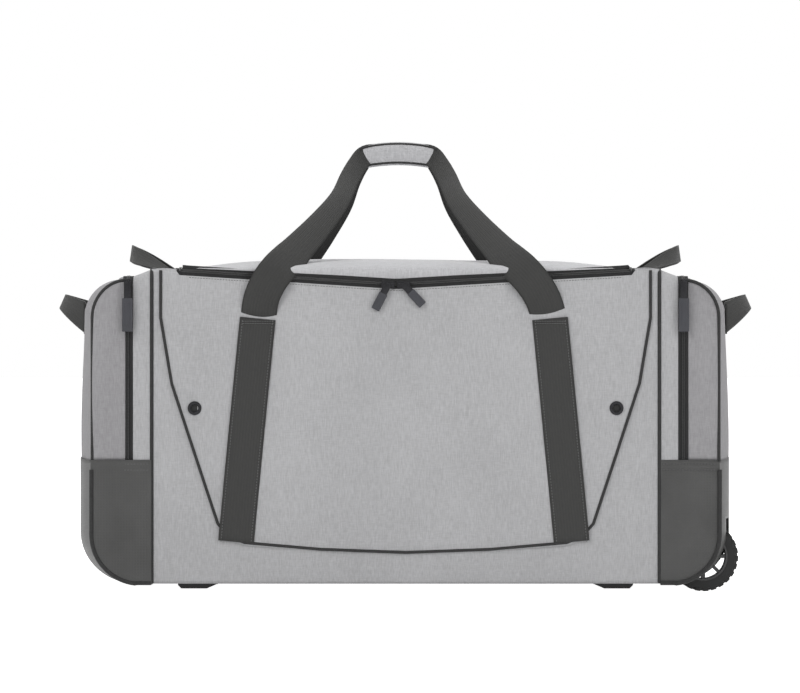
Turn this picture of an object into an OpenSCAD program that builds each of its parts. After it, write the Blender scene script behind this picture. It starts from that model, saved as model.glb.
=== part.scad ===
/* [Bag] */
// Length between the two flat end faces
bag_length = 920; // [840:1:1000]
// Depth from the front face to the back face
bag_depth = 430; // [380:1:480]
// Height of the body from its base to its shoulders
body_height = 450; // [400:1:500]
// Height of the base above the floor
ground_gap = 14; // [12:1:18]
// Length of each end pocket, from its seam to the end face
pocket_length = 97; // [80:1:120]
// Thickness of the padded cloth walls
cloth = 2.5; // [1.5:0.1:4]
// Thickness of the stiff board in the base
board = 4; // [3:0.5:6]
// Radius of the rounded upper corner of each end pocket
pocket_round = 48; // [30:1:48]

/* [Zips] */
// Width of one half of a zip, from its teeth to its edge
tape_w = 6; // [5:0.1:8]
// Thickness of a zip
tape_t = 2; // [1.5:0.1:2.5]
// Distance from a side seam to the end of the lid
shoulder = 41; // [35:1:60]
// How far the middle of the lid zip hangs below the shoulders
zip_sag = 23; // [10:1:30]
// How far to the left of the middle the two lid sliders meet
meet_left = 14; // [0:1:30]
// Distance from an end face to its pocket zip
pocket_zip_in = 63; // [55:1:75]
// Length of a slider
slider_len = 20; // [14:1:24]
// Height of a slider across its zip
slider_h = 9; // [7:0.5:10]
// Length of a lid pull
lid_pull_len = 38; // [25:1:60]
// Length of a pocket pull
pocket_pull_len = 72; // [40:1:90]

/* [Webbing] */
// Width of the carrying webbing
web_w = 51; // [38:1:60]
// Thickness of the webbing
web_t = 2; // [1.5:0.1:3]
// Height of the grip above the shoulders
grip_rise = 196; // [120:1:220]
// Length of the padded grip wrap
grip_len = 110; // [90:1:140]
// Height of the padded grip wrap
grip_h = 36; // [28:1:45]
// Thickness of the padded grip wrap, front to back
grip_t = 26; // [20:1:36]

/* [Boots and wheels] */
// Height of the coated boots at the bottom of the pockets
boot_h = 174; // [120:1:220]
// Thickness of the boots
boot_t = 3; // [2:0.1:4]
// Radius of the lower outer corner of each boot
boot_round = 70; // [60:1:90]
// Diameter of the wheels
wheel_d = 100; // [90:1:110]
// Width of the wheels
wheel_w = 26; // [20:1:32]
// Distance from the middle of the bag to each wheel
wheel_y = 165; // [120:1:180]
// Distance from the end face to the axle
axle_in = 30; // [25:1:40]
// Diameter of the axle bolts
axle_d = 8; // [6:0.5:10]
// Outer diameter of the wheel bearings
bearing_d = 22; // [19:0.5:26]
// Width of a bearing
bearing_w = 7; // [5:0.5:9]

/* [Hidden] */
$fn = 64;

end_x = bag_length / 2;
seam_x = end_x - pocket_length;
face_y = bag_depth / 2;
z0 = ground_gap;
z_top = z0 + body_height;
boot_z = z0 + boot_h;
gap = 0.4;
tooth_gap = 0.2;
slide_gap = 0.5;
plate_t = 2;

// The lid zip: a shallow V across the front, then straight back along both sides
zip_x = seam_x - shoulder;
v_end = z_top - 3;
v_mid = z_top - zip_sag;
meet_x = -meet_left;
left_run = zip_x + meet_x;
right_run = zip_x - meet_x;
lid_x = zip_x - tape_w;
lid_back = face_y - 10;
lid_top = z_top + 0.5;

// The pocket zips
pocket_zip_x = end_x - pocket_zip_in;
pocket_top = z_top - 12;
pocket_slider_z = pocket_top - tape_t - slider_len * 0.35 - 1;

// Webbing: half widths of the sewn bands at their foot, and of the straps as they rise
band_foot_z = z0 + 62;
band_top_z = z_top - 71;
band_foot_x = 238;
band_top_x = 210;
fold_out = 13;
seam_out = 1.3;
grip_top = z_top + grip_rise;
grip_z0 = grip_top - grip_h;
grip_wall = 4;
strap_inner_y = 3;
fold_y = face_y + fold_out;
lean_run = fold_y - strap_inner_y - web_t;
lean_rise = grip_z0 + 10 - z_top;
lean_len = sqrt(lean_run * lean_run + lean_rise * lean_rise);
lean_angle = atan2(lean_run, lean_rise);
strap_end = lean_len + web_t;
fold_in = 0.6;
strap_rise_in = [[208, 0], [178, 46], [114, 167], [grip_len / 2 + 21, strap_end]];
strap_fall_in = [[grip_len / 2 + 2, strap_end], [75, 167], [127, 46], [154, 0]];

// The centre panel tapers from the shoulders to its curved bottom edge
panel_half = [[seam_x - 13, z_top - 70], [seam_x - 29, z_top - 164],
    [seam_x - 95, z0 + 86], [seam_x - 123, z0 + 60], [seam_x - 243, z0 + 49]];
eyelet_x = seam_x - 62;
eyelet_z = z0 + 251;
eyelet_hole = 12;
piping = 4;

axle_x = end_x - axle_in;
axle_z = wheel_d / 2;
well_w = wheel_w + 8;
well_x = axle_x - wheel_d / 2 - 5;
well_z = wheel_d + 5;
housing_t = 3;
vent_z = z0 + 323;
vent_hole = 14;
foot_x = 264;
foot_len = 68;
foot_w = 60;
foot_y = 95;

function arc(cx, cy, r, a0, a1, n) =
    [for (i = [0 : n]) [cx + r * cos(a0 + (a1 - a0) * i / n),
                        cy + r * sin(a0 + (a1 - a0) * i / n)]];
function mirrored(points) = [for (i = [len(points) - 1 : -1 : 0])
    [-points[i][0], points[i][1]]];
function zip_line(d) = [[-zip_x + tooth_gap, v_end + d], [meet_x, v_mid + d],
    [zip_x - tooth_gap, v_end + d]];

// A flat sheet that stands upright with its outer face at y
module sheet(y, t) {
    translate([0, y + t, 0]) rotate([90, 0, 0]) linear_extrude(t) children();
}
module run_through(half) {
    translate([0, half, 0]) rotate([90, 0, 0]) linear_extrude(2 * half) children();
}
module at_back() { mirror([0, 1, 0]) children(); }
module at_left() { mirror([1, 0, 0]) children(); }
module both_sides() {
    children();
    at_left() children();
}

// Front and back walls
module centre_outline(v) {
    top = v ? [[-(seam_x - 13), z_top], [-zip_x - tape_w, z_top],
        [-zip_x - tape_w, v_end - tape_w], [meet_x, v_mid - tape_w],
        [zip_x + tape_w, v_end - tape_w], [zip_x + tape_w, z_top], [seam_x - 13, z_top]]
        : [[-(seam_x - 13), z_top], [seam_x - 13, z_top]];
    polygon(concat(top, panel_half, mirrored(panel_half)));
}
module centre_panel(v) {
    difference() {
        sheet(-face_y, cloth) centre_outline(v);
        for (s = [-1, 1])
            translate([s * eyelet_x, -face_y - 1, eyelet_z]) rotate([-90, 0, 0])
                cylinder(d = eyelet_hole, h = cloth + 2);
    }
}
module surround() {
    sheet(-face_y, cloth) difference() {
        translate([-seam_x, z0]) square([2 * seam_x, body_height]);
        centre_outline(false);
    }
}
module front_centre_panel() { color([0.71, 0.71, 0.72]) centre_panel(true); }
module front_surround() { color([0.71, 0.71, 0.72]) surround(); }
module back_centre_panel() { color([0.71, 0.71, 0.72]) at_back() centre_panel(false); }
module back_surround() { color([0.71, 0.71, 0.72]) at_back() surround(); }

// Piping cord round the centre panel
module panel_cord() {
    sheet(-face_y - piping / 2, piping / 2) intersection() {
        difference() {
            centre_outline(false);
            offset(delta = -piping) centre_outline(false);
        }
        translate([-seam_x, z0]) square([2 * seam_x, band_top_z + 60 - z0]);
    }
}
module band_space() {
    both_sides() sheet(-face_y - 20, 40) band_outline(0.3);
}
module front_piping() { color([0.15, 0.15, 0.15]) difference() { panel_cord(); band_space(); } }
module back_piping() { color([0.15, 0.15, 0.15]) at_back() difference() { panel_cord(); band_space(); } }
module seam_cord() {
    outer = face_y + piping / 2;
    run_through(outer) difference() {
        translate([seam_x - piping / 2, z0 + piping]) square([piping, body_height - piping / 2]);
        translate([seam_x - piping, z0]) square([2 * piping, body_height]);
    }
    for (s = [0, 1])
        mirror([0, s, 0]) sheet(-outer, piping / 2)
            translate([seam_x - piping / 2, z0 + piping])
                square([piping, body_height - piping / 2]);
}
module left_seam_piping() { color([0.15, 0.15, 0.15]) at_left() seam_cord(); }
module right_seam_piping() { color([0.15, 0.15, 0.15]) seam_cord(); }

// Base, stiff board and the dividers between the main space and the pockets
module base_panel() {
    color([0.2, 0.2, 0.2]) translate([-seam_x, -face_y + cloth, z0])
        cube([2 * seam_x, bag_depth - 2 * cloth, cloth]);
}
module base_board() {
    color([0.1, 0.1, 0.1]) translate([-seam_x + cloth + gap, -face_y + cloth + gap, z0 + cloth])
        cube([2 * (seam_x - cloth - gap), bag_depth - 2 * (cloth + gap), board]);
}
module divider() {
    translate([seam_x - cloth, -face_y + cloth, z0 + cloth])
        cube([cloth, bag_depth - 2 * cloth, body_height - 2 * cloth]);
}
module left_divider() { color([0.35, 0.35, 0.36]) at_left() divider(); }
module right_divider() { color([0.35, 0.35, 0.36]) divider(); }

// Shoulders and rear strip of the top, left open for the lid
module top_surround() {
    color([0.75, 0.75, 0.76]) difference() {
        translate([-seam_x, -face_y + cloth, z_top - cloth])
            cube([2 * seam_x, bag_depth - 2 * cloth, cloth]);
        translate([-zip_x - tape_w, -face_y, z_top - cloth - 1])
            cube([2 * (zip_x + tape_w), face_y + lid_back + gap, cloth + 2]);
    }
}

// Lid: a flat top and a shallow front lip above the zip
module lid_panel() {
    lip = (lid_top - tape_w - v_mid) / (v_end - v_mid);
    color([0.78, 0.78, 0.8]) union() {
        translate([-lid_x, -face_y + tape_t, z_top - tape_t])
            cube([2 * lid_x, face_y - tape_t + lid_back, lid_top - z_top + tape_t]);
        sheet(-face_y, tape_t + 0.01) polygon([[meet_x - lip * (left_run - tooth_gap), lid_top],
            [meet_x, v_mid + tape_w], [meet_x + lip * (right_run - tooth_gap), lid_top]]);
    }
}
module lid_zip_lid_half() {
    color([0.16, 0.16, 0.16]) union() {
        sheet(-face_y, tape_t) polygon(concat(zip_line(tooth_gap),
            [for (i = [2 : -1 : 0]) zip_line(tape_w)[i]]));
        both_sides() translate([lid_x, -face_y + tape_t - 0.01, z_top - tape_t])
            cube([tape_w - tooth_gap, face_y - tape_t + lid_back, tape_t]);
    }
}
module lid_zip_body_half() {
    color([0.16, 0.16, 0.16]) union() {
        sheet(-face_y, tape_t) polygon([[-zip_x - tape_w, v_end - tape_w],
            [meet_x, v_mid - tape_w], [zip_x + tape_w, v_end - tape_w],
            [zip_x + tape_w, z_top], [zip_x + tooth_gap, z_top],
            [zip_x + tooth_gap, v_end - tooth_gap], [meet_x, v_mid - tooth_gap],
            [-zip_x - tooth_gap, v_end - tooth_gap], [-zip_x - tooth_gap, z_top],
            [-zip_x - tape_w, z_top]]);
        both_sides() translate([zip_x + tooth_gap, -face_y + tape_t - 0.01, z_top - tape_t])
            cube([tape_w - tooth_gap, face_y - tape_t + lid_back, tape_t]);
    }
}

// A slider: one plate in front of the zip and one behind it, and a stud for the pull
module slider_plates(length, height) {
    translate([-length / 2, -face_y - slide_gap - plate_t, -height / 2])
        cube([length, plate_t, height]);
    translate([-length / 2, -face_y + tape_t + slide_gap, -height / 2])
        cube([length, plate_t, height]);
}
module lid_slider() {
    slider_plates(slider_len, slider_h);
    translate([0, -face_y - slide_gap - plate_t + 0.5, 0]) rotate([90, 0, 0])
        cylinder(d = 3, h = 6);
}
module place_lid_slider(side) {
    x = meet_x + side * (slider_len / 2 + 1);
    run = side < 0 ? left_run : right_run;
    slope = atan2(v_end - v_mid, run);
    translate([x, 0, v_mid + (slider_len / 2 + 1) * tan(slope)])
        rotate([0, -side * slope, 0]) children();
}
module pull_shape(length) {
    link = length * 0.4;
    union() {
        translate([-4.5, 0, -link]) cube([9, 2, link]);
        translate([-5.5, -1, -length]) cube([11, 4, length - link + 0.5]);
    }
}
module lid_pull(lean) {
    translate([0, -face_y - slide_gap - plate_t - 4, 0]) rotate([0, lean, 0])
        difference() {
            union() {
                translate([0, 0, -2.5]) pull_shape(lid_pull_len);
                translate([0, 2, 0]) rotate([90, 0, 0]) cylinder(d = 9, h = 2);
            }
            translate([0, 4, 0]) rotate([90, 0, 0]) cylinder(d = 3.2, h = 8);
        }
}
module left_lid_slider() { color([0.3, 0.3, 0.31]) place_lid_slider(-1) lid_slider(); }
module right_lid_slider() { color([0.3, 0.3, 0.31]) place_lid_slider(1) lid_slider(); }
module left_lid_pull() { color([0.32, 0.32, 0.34]) place_lid_slider(-1) lid_pull(26); }
module right_lid_pull() { color([0.32, 0.32, 0.34]) place_lid_slider(1) lid_pull(-46); }

// Webbing sewn to the walls, and the loose straps that rise from it
module band_outline(grow) {
    half = web_w / 2 + grow;
    polygon([[band_foot_x - half, band_foot_z - grow], [band_foot_x + half, band_foot_z - grow],
        [band_top_x + half, band_top_z + grow], [band_top_x - half, band_top_z + grow]]);
}
module bands() { both_sides() sheet(-face_y - web_t, web_t) band_outline(0); }
module front_bands() { color([0.18, 0.18, 0.17]) bands(); }
module back_bands() { color([0.18, 0.18, 0.17]) at_back() bands(); }
module strap() {
    half = web_w / 2;
    loose_h = z_top - band_top_z - gap;
    out_angle = atan2(fold_out - seam_out, loose_h);
    loose_len = sqrt(pow(fold_out - seam_out, 2) + loose_h * loose_h);
    union() {
        both_sides() {
            translate([0, -face_y - seam_out, band_top_z + gap]) rotate([90 + out_angle, 0, 0])
                linear_extrude(web_t)
                    polygon([[band_top_x - half, 0], [band_top_x + half, 0],
                        [strap_rise_in[0][0], loose_len], [strap_fall_in[3][0], loose_len]]);
            translate([0, -fold_y, z_top]) rotate([90 - lean_angle, 0, 0])
                linear_extrude(web_t) polygon(concat(strap_rise_in, strap_fall_in));
            translate([strap_fall_in[3][0] + fold_in, -fold_y - web_t, z_top - web_t])
                cube([strap_rise_in[0][0] - strap_fall_in[3][0] - 2 * fold_in,
                    web_t - 0.3, 1.7 * web_t]);
        }
        translate([-strap_rise_in[3][0], -strap_inner_y - web_t, grip_z0 + 4])
            cube([2 * strap_rise_in[3][0], web_t, grip_h - 8]);
    }
}
module front_handle_strap() { color([0.18, 0.18, 0.17]) strap(); }
module back_handle_strap() { color([0.18, 0.18, 0.17]) at_back() strap(); }
module grip_wrap() {
    color([0.76, 0.76, 0.78]) difference() {
        translate([-grip_len / 2, -grip_t / 2, grip_z0]) cube([grip_len, grip_t, grip_h]);
        translate([-grip_len / 2 - 1, -grip_t / 2 + grip_wall, grip_z0 + 3.7])
            cube([grip_len + 2, grip_t - 2 * grip_wall, grip_h - 7.4]);
    }
}

// Metal eyelets in the centre panels
module eyelet() {
    rotate([90, 0, 0]) rotate_extrude() polygon([[5, -cloth - 1], [10, -cloth - 1],
        [10, -cloth - 0.1], [eyelet_hole / 2 - 0.1, -cloth - 0.1],
        [eyelet_hole / 2 - 0.1, 0.1], [10, 0.1], [10, 1.2], [5, 1.2]]);
}
module eyelets() {
    color([0.2, 0.2, 0.21]) for (s = [-1, 1], back = [0, 1])
        mirror([0, back, 0]) translate([s * eyelet_x, -face_y, eyelet_z]) eyelet();
}

// End pockets: a fixed gusset beside the seam, the zip, and a door that folds down
function door_outline(i) = concat([[pocket_zip_x + tape_w - i, boot_z + gap - i],
    [pocket_zip_x + tape_w - i, pocket_top - i]],
    [for (p = arc(end_x - pocket_round, pocket_top - pocket_round, pocket_round - i,
        90, 0, 8)) p], [[end_x - i, boot_z + gap - i]]);
module gusset() {
    x0 = seam_x;
    x1 = pocket_zip_x - tape_w;
    run_through(face_y - cloth) polygon([[x0, z_top - cloth], [x0, z_top],
        [x1, pocket_top], [x1, pocket_top - cloth]]);
    for (s = [0, 1])
        mirror([0, s, 0]) sheet(-face_y, cloth)
            polygon([[x0, boot_z], [x1, boot_z], [x1, pocket_top], [x0, z_top]]);
}
module pocket_tape(x0) {
    w = tape_w - tooth_gap;
    for (s = [0, 1])
        mirror([0, s, 0]) translate([x0, -face_y, boot_z + gap])
            cube([w, tape_t, pocket_top - boot_z - gap]);
    translate([x0, -face_y, pocket_top - tape_t]) cube([w, bag_depth, tape_t]);
}
module door_shell() {
    difference() {
        union() {
            run_through(face_y) difference() {
                polygon(door_outline(0));
                polygon(door_outline(cloth));
            }
            for (s = [0, 1])
                mirror([0, s, 0]) sheet(-face_y, cloth) polygon(door_outline(0));
        }
        translate([end_x - cloth - 1, 0, vent_z]) rotate([0, 90, 0])
            cylinder(d = vent_hole, h = cloth + 2);
    }
}
module left_gusset() { color([0.7, 0.7, 0.71]) at_left() gusset(); }
module right_gusset() { color([0.7, 0.7, 0.71]) gusset(); }
module left_pocket_zip_body_half() { color([0.16, 0.16, 0.16]) at_left() pocket_tape(pocket_zip_x - tape_w); }
module right_pocket_zip_body_half() { color([0.16, 0.16, 0.16]) pocket_tape(pocket_zip_x - tape_w); }
module left_pocket_zip_door_half() { color([0.16, 0.16, 0.16]) at_left() pocket_tape(pocket_zip_x + tooth_gap); }
module right_pocket_zip_door_half() { color([0.16, 0.16, 0.16]) pocket_tape(pocket_zip_x + tooth_gap); }
module left_pocket_door() { color([0.63, 0.62, 0.63]) at_left() door_shell(); }
module right_pocket_door() { color([0.63, 0.62, 0.63]) door_shell(); }

module pocket_slider() {
    translate([pocket_zip_x, 0, pocket_slider_z]) {
        slider_plates(slider_h, slider_len * 0.7);
        for (s = [-1, 1])
            translate([s * 3.7 - 0.8, -face_y - slide_gap - plate_t - 4, -1.5])
                cube([1.6, 4.5, 3]);
        translate([-4.5, -face_y - slide_gap - plate_t - 2.5, 0]) rotate([0, 90, 0])
            cylinder(d = 2, h = 9);
    }
}
module pocket_pull() {
    translate([pocket_zip_x, -face_y - slide_gap - plate_t - 2.5, pocket_slider_z])
        difference() {
            union() {
                rotate([0, 90, 0]) translate([0, 0, -2.4]) cylinder(d = 4, h = 4.8);
                translate([-2.4, -1.2, -12]) cube([4.8, 2.4, 12]);
                translate([-4.5, -1.2, -26]) cube([9, 2.4, 15]);
                translate([-6, -2, -pocket_pull_len]) cube([12, 3.5, pocket_pull_len - 25]);
            }
            rotate([0, 90, 0]) translate([0, 0, -5]) cylinder(d = 2.2, h = 10);
        }
}
module left_pocket_slider() { color([0.25, 0.25, 0.25]) at_left() pocket_slider(); }
module right_pocket_slider() { color([0.25, 0.25, 0.25]) pocket_slider(); }
module left_pocket_pull() { color([0.24, 0.24, 0.25]) at_left() pocket_pull(); }
module right_pocket_pull() { color([0.24, 0.24, 0.25]) pocket_pull(); }

// Coated boots and the welt round their lower corner
function boot_outline(i) = concat([[seam_x, boot_z], [end_x - i, boot_z]],
    arc(end_x - boot_round, z0 + boot_round, boot_round - i, 0, -90, 12),
    [[seam_x, z0 + i]]);
module boot_shell() {
    run_through(face_y) difference() {
        polygon(boot_outline(0));
        translate([-1, 1]) polygon(boot_outline(boot_t));
        polygon(boot_outline(boot_t));
    }
    for (s = [0, 1])
        mirror([0, s, 0]) sheet(-face_y, boot_t) polygon(boot_outline(0));
}
module wells(grow) {
    for (s = [-1, 1])
        translate([well_x - grow, s * wheel_y - well_w / 2 - grow, -1])
            cube([200, well_w + 2 * grow, well_z + 1 + grow]);
}
module welt() {
    for (s = [0, 1])
        mirror([0, s, 0]) sheet(-face_y - 3, 3) intersection() {
            difference() {
                polygon(boot_outline(0));
                polygon(boot_outline(6));
            }
            translate([end_x - boot_round - 20, z0])
                square([boot_round + 20, boot_round + 20]);
        }
}
module left_boot() { color([0.3, 0.3, 0.29]) at_left() boot_shell(); }
module right_boot() { color([0.3, 0.3, 0.29]) difference() { boot_shell(); wells(0); } }
module left_welt() { color([0.2, 0.2, 0.2]) at_left() welt(); }
module right_welt() { color([0.2, 0.2, 0.2]) welt(); }

// Webbing grab handles on the end faces and on the top seams
module end_handle() {
    reach = 29;
    half = 80;
    r = (half * half + reach * reach) / (2 * reach);
    intersection() {
        translate([end_x + reach - r, 0, z0 + 379]) difference() {
            cylinder(r = r, h = 24, $fn = 96);
            translate([0, 0, -1]) cylinder(r = r - 4, h = 26, $fn = 96);
        }
        translate([end_x + gap, -half, z0]) cube([reach + 10, 2 * half, body_height]);
    }
}
module top_handle() {
    rise = 30;
    half = 100;
    r = (half * half + rise * rise) / (2 * rise);
    foot = z_top + piping / 2 + gap;
    intersection() {
        translate([seam_x - 13, 0, foot + rise - r]) rotate([0, 90, 0]) difference() {
            cylinder(r = r, h = web_w / 2, $fn = 96);
            translate([0, 0, -1]) cylinder(r = r - 3, h = web_w / 2 + 2, $fn = 96);
        }
        translate([seam_x - 20, -half, foot]) cube([web_w, 2 * half, 2 * rise]);
    }
}
module left_end_handle() { color([0.1, 0.1, 0.09]) at_left() end_handle(); }
module right_end_handle() { color([0.1, 0.1, 0.09]) end_handle(); }
module left_top_handle() { color([0.15, 0.15, 0.15]) at_left() top_handle(); }
module right_top_handle() { color([0.15, 0.15, 0.15]) top_handle(); }
module end_vent() {
    translate([end_x, 0, vent_z]) rotate([0, 90, 0]) rotate_extrude()
        polygon([[vent_hole / 2 - 2, -cloth], [vent_hole / 2 - 0.1, -cloth],
            [vent_hole / 2 - 0.1, 0.1], [13, 0.1], [12, 2], [vent_hole / 2 - 2, 2]]);
}
module left_end_vent() { color([0.1, 0.1, 0.1]) at_left() end_vent(); }
module right_end_vent() { color([0.1, 0.1, 0.1]) end_vent(); }

// Moulded wheel housings set into the right boot
module housing(side) {
    inner = boot_t + 0.2;
    difference() {
        translate([0, side * wheel_y, 0]) run_through(well_w / 2 + housing_t)
            intersection() {
                polygon(boot_outline(inner));
                translate([well_x - housing_t, z0]) square([200, well_z + housing_t - z0]);
            }
        wells(0);
        translate([axle_x, side * wheel_y + 40, axle_z]) rotate([90, 0, 0])
            cylinder(d = axle_d + 0.1, h = 80);
    }
}
module front_wheel_housing() { color([0.12, 0.12, 0.12]) housing(-1); }
module rear_wheel_housing() { color([0.12, 0.12, 0.12]) housing(1); }
module at_axles() {
    for (s = [-1, 1])
        mirror([0, s > 0 ? 1 : 0, 0]) translate([axle_x, -wheel_y, axle_z]) children();
}
cheek = well_w / 2 + housing_t;
module axle_bolts() {
    color([0.6, 0.6, 0.62]) at_axles() union() {
        translate([0, cheek + 9, 0]) rotate([90, 0, 0])
            cylinder(d = axle_d, h = 2 * cheek + 9 + 1);
        translate([0, -cheek - 0.1, 0]) rotate([90, 0, 0])
            cylinder(d = axle_d + 6, h = 4);
    }
}
module axle_nuts() {
    color([0.6, 0.6, 0.62]) at_axles() difference() {
        translate([0, cheek + 0.2 + axle_d * 0.8, 0]) rotate([90, 0, 0])
            cylinder(d = axle_d * 1.8, h = axle_d * 0.8, $fn = 6);
        translate([0, cheek + 20, 0]) rotate([90, 0, 0])
            cylinder(d = axle_d + 0.1, h = 40);
    }
}
module bearing_spacers() {
    half = wheel_w / 2 - bearing_w - 0.3;
    color([0.6, 0.6, 0.62]) at_axles() rotate([90, 0, 0]) translate([0, 0, -half])
        difference() {
            cylinder(d = axle_d + 4, h = 2 * half);
            translate([0, 0, -1]) cylinder(d = axle_d + 0.1, h = 2 * half + 2);
        }
}
module on_axle(side) {
    translate([axle_x, side * wheel_y, axle_z]) rotate([90, 0, 0]) children();
}
rim_r = wheel_d / 2 - 15;
module tyre() {
    h = wheel_w / 2;
    rotate_extrude() polygon([[rim_r, -h + 1], [wheel_d / 2 - 4, -h], [wheel_d / 2, -h + 4],
        [wheel_d / 2, -2], [wheel_d / 2 - 3, -1], [wheel_d / 2 - 3, 1], [wheel_d / 2, 2],
        [wheel_d / 2, h - 4], [wheel_d / 2 - 4, h], [rim_r, h - 1]]);
}
module rim() {
    h = wheel_w - 4;
    difference() {
        union() {
            difference() {
                translate([0, 0, -h / 2]) cylinder(r = rim_r - 0.05, h = h);
                translate([0, 0, -h / 2 - 1]) cylinder(r = rim_r - 3, h = h + 2);
            }
            translate([0, 0, -wheel_w / 2]) cylinder(d = bearing_d + 6, h = wheel_w);
            for (i = [0 : 7])
                rotate([0, 0, i * 45]) translate([bearing_d / 2 + 1, -2.5, -h / 2 + 3])
                    cube([rim_r - bearing_d / 2 - 3, 5, h - 6]);
        }
        translate([0, 0, -wheel_w / 2 - 1]) cylinder(d = bearing_d + 0.1, h = wheel_w + 2);
    }
}
module bearings() {
    for (s = [-1, 1])
        translate([0, 0, s * (wheel_w / 2 - bearing_w / 2) - bearing_w / 2])
            difference() {
                cylinder(d = bearing_d, h = bearing_w);
                translate([0, 0, -1]) cylinder(d = axle_d + 0.1, h = bearing_w + 2);
            }
}
module front_tyre() { color([0.1, 0.1, 0.1]) on_axle(-1) tyre(); }
module rear_tyre() { color([0.1, 0.1, 0.1]) on_axle(1) tyre(); }
module front_rim() { color([0.2, 0.2, 0.2]) on_axle(-1) rim(); }
module rear_rim() { color([0.2, 0.2, 0.2]) on_axle(1) rim(); }
module front_bearings() { color([0.6, 0.6, 0.62]) on_axle(-1) bearings(); }
module rear_bearings() { color([0.6, 0.6, 0.62]) on_axle(1) bearings(); }

// Moulded skid feet under the base
module skid_feet() {
    color([0.1, 0.1, 0.1]) for (s = [-1, 1]) both_sides()
        translate([0, s * foot_y + foot_w / 2, 0]) rotate([90, 0, 0]) linear_extrude(foot_w)
            polygon([[foot_x, z0], [foot_x, z0 - 3], [foot_x + 26, 0],
                [foot_x + foot_len - 5, 0], [foot_x + foot_len, 5],
                [foot_x + foot_len, z0]]);
}

front_centre_panel();
front_surround();
back_centre_panel();
back_surround();
base_panel();
base_board();
left_divider();
right_divider();
top_surround();
lid_panel();
lid_zip_body_half();
lid_zip_lid_half();
left_lid_slider();
right_lid_slider();
left_lid_pull();
right_lid_pull();
front_bands();
back_bands();
front_handle_strap();
back_handle_strap();
grip_wrap();
front_piping();
back_piping();
left_seam_piping();
right_seam_piping();
eyelets();
left_gusset();
right_gusset();
left_pocket_zip_body_half();
right_pocket_zip_body_half();
left_pocket_zip_door_half();
right_pocket_zip_door_half();
left_pocket_door();
right_pocket_door();
left_pocket_slider();
right_pocket_slider();
left_pocket_pull();
right_pocket_pull();
left_boot();
right_boot();
left_welt();
right_welt();
left_end_handle();
right_end_handle();
left_top_handle();
right_top_handle();
left_end_vent();
right_end_vent();
front_wheel_housing();
rear_wheel_housing();
axle_bolts();
axle_nuts();
bearing_spacers();
front_tyre();
rear_tyre();
front_rim();
rear_rim();
front_bearings();
rear_bearings();
skid_feet();
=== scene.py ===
import bpy, bmesh, math
from mathutils import Vector, Matrix, noise


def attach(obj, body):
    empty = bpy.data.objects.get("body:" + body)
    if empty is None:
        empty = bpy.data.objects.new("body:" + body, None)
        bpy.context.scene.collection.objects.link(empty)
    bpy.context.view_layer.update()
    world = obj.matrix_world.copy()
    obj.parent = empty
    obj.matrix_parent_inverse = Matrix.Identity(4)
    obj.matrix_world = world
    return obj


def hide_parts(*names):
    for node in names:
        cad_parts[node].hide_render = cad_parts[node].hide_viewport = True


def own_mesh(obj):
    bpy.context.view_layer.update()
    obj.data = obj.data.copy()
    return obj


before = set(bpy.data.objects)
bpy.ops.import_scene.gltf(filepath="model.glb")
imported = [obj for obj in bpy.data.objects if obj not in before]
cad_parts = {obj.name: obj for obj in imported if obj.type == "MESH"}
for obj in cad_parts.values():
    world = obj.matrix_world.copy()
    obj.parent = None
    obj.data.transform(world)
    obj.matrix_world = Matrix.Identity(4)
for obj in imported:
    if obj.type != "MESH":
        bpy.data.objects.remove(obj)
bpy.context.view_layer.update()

# Camera: level with the middle of the bag, far off through a long lens.
camera_data = bpy.data.cameras.new("camera")
camera_data.lens = 141.6
camera = bpy.data.objects.new("camera", camera_data)
camera.location = (-0.008, -4.715, 0.353)
camera.rotation_euler = (math.radians(90), 0, 0)
bpy.context.collection.objects.link(camera)
bpy.context.scene.camera = camera

# Front and back walls: heathered polyester sewn to a thin foam backing, one sheet for the
# surround and a tapered centre panel laid over it. The wall bellies out between its seams.
SEAM_X, FACE_Y, BASE_Z, TOP_Z = 0.363, 0.215, 0.014, 0.464
ZIP_X, ZIP_HALF, MEET_X = 0.322, 0.006, -0.014
ZIP_END_Z, ZIP_MID_Z = 0.461, 0.441
BELLY = 0.013
PANEL_CORNERS = [(0.35, 0.394), (0.334, 0.3), (0.268, 0.1)]


def node_material(name, colour, roughness):
    material = bpy.data.materials.new(name)
    material.use_nodes = True
    shader = material.node_tree.nodes["Principled BSDF"]
    shader.inputs["Base Color"].default_value = (*colour, 1)
    shader.inputs["Roughness"].default_value = roughness
    return material, material.node_tree, shader


def add_node(tree, kind, **settings):
    node = tree.nodes.new(kind)
    for key, value in settings.items():
        if key in node.inputs:
            node.inputs[key].default_value = value
        else:
            setattr(node, key, value)
    return node


def stretched_noise(tree, stretch, detail=3.0):
    """Noise drawn out along an axis: stretch is how fine it is along X, Y and Z."""
    place = add_node(tree, "ShaderNodeTexCoord")
    scaled = add_node(tree, "ShaderNodeMapping", Scale=stretch)
    grain = add_node(tree, "ShaderNodeTexNoise", Scale=1.0, Detail=detail)
    tree.links.new(place.outputs["Object"], scaled.inputs["Vector"])
    tree.links.new(scaled.outputs["Vector"], grain.inputs["Vector"])
    return grain.outputs["Fac"]


def mixed(tree, kind, a, b):
    node = add_node(tree, "ShaderNodeMath", operation=kind)
    for socket, value in zip(node.inputs, (a, b)):
        if isinstance(value, (int, float)):
            socket.default_value = value
        else:
            tree.links.new(value, socket)
    return node.outputs[0]


def ramp(tree, factor, dark, light, low=0.3, high=0.7):
    node = add_node(tree, "ShaderNodeValToRGB")
    node.color_ramp.elements[0].position = low
    node.color_ramp.elements[0].color = (*dark, 1)
    node.color_ramp.elements[1].position = high
    node.color_ramp.elements[1].color = (*light, 1)
    tree.links.new(factor, node.inputs["Fac"])
    return node.outputs["Color"]


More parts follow.
